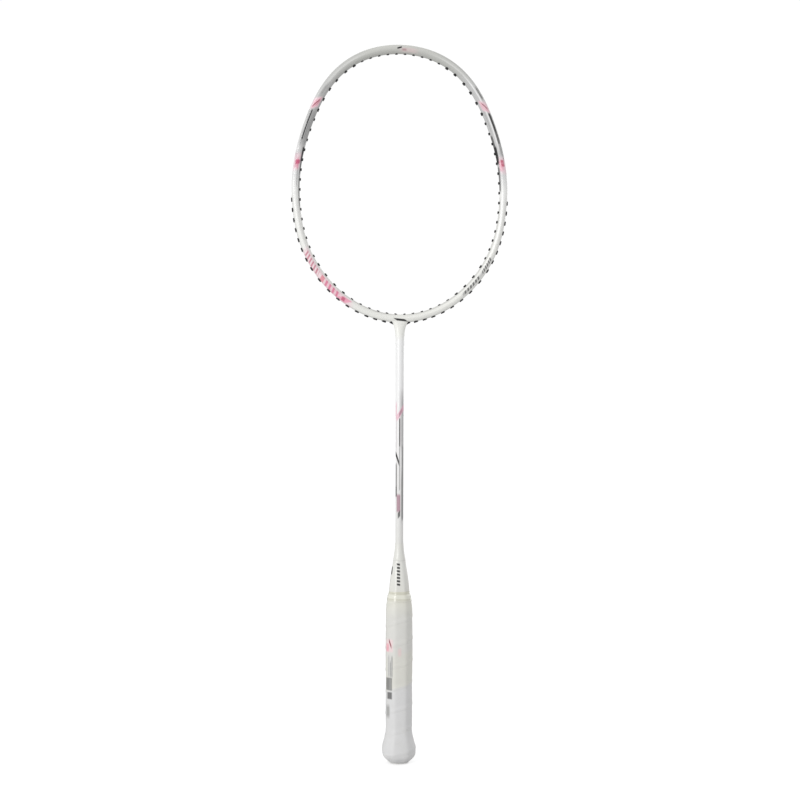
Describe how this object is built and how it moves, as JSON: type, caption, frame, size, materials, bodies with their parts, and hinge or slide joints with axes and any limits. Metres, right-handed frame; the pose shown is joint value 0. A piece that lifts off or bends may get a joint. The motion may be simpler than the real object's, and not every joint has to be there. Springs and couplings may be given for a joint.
{
  "type": "badminton racket",
  "caption": "Unstrung badminton racket: drilled oval head with grommets, T-jointed tubular shaft, faceted cone and wrapped octagonal handle with a flared butt.",
  "frame": {"origin": "centre of the butt's flat end face", "axes": "+Z along the shaft from the butt to the head's tip, +X across the head, +Y through the racket's thickness; the printed face looks towards -Y"},
  "size_m": [0.2054, 0.0292, 0.6749],
  "materials": {
    "frame_lacquer": "pearl white lacquer over carbon fibre, silver towards the tip",
    "carbon_core": "bare carbon-filled moulding",
    "shaft_lacquer": "pearl white lacquer over carbon fibre",
    "grommet_nylon": "black nylon",
    "cone_plastic": "white gloss moulding",
    "handle_wood": "bare light hardwood",
    "butt_plastic": "white gloss",
    "staple_steel": "bare wire",
    "adhesive_cloth": "cloth-backed double-sided tape",
    "grip_leather": "satin synthetic leather",
    "band_film": "cream translucent film"
  },
  "bodies": {
    "root": {"head_hoop": "frame_lacquer", "t_joint": "carbon_core", "throat_moulding": "frame_lacquer", "shaft_tube": "shaft_lacquer", "throat_grommets": "grommet_nylon", "lower_grommets_left": "grommet_nylon", "lower_grommets_right": "grommet_nylon", "corner_grommets_left": "grommet_nylon", "corner_grommets_right": "grommet_nylon", "side_strip_left": "grommet_nylon", "side_strip_right": "grommet_nylon", "shoulder_strip_left": "grommet_nylon", "shoulder_strip_right": "grommet_nylon", "top_strip": "grommet_nylon", "cone_cap": "cone_plastic", "handle_core": "handle_wood", "butt_plate": "butt_plastic", "butt_staple": "staple_steel", "grip_adhesive": "adhesive_cloth", "grip_wrap": "grip_leather", "finishing_band": "band_film"}
  },
  "joints": []
}
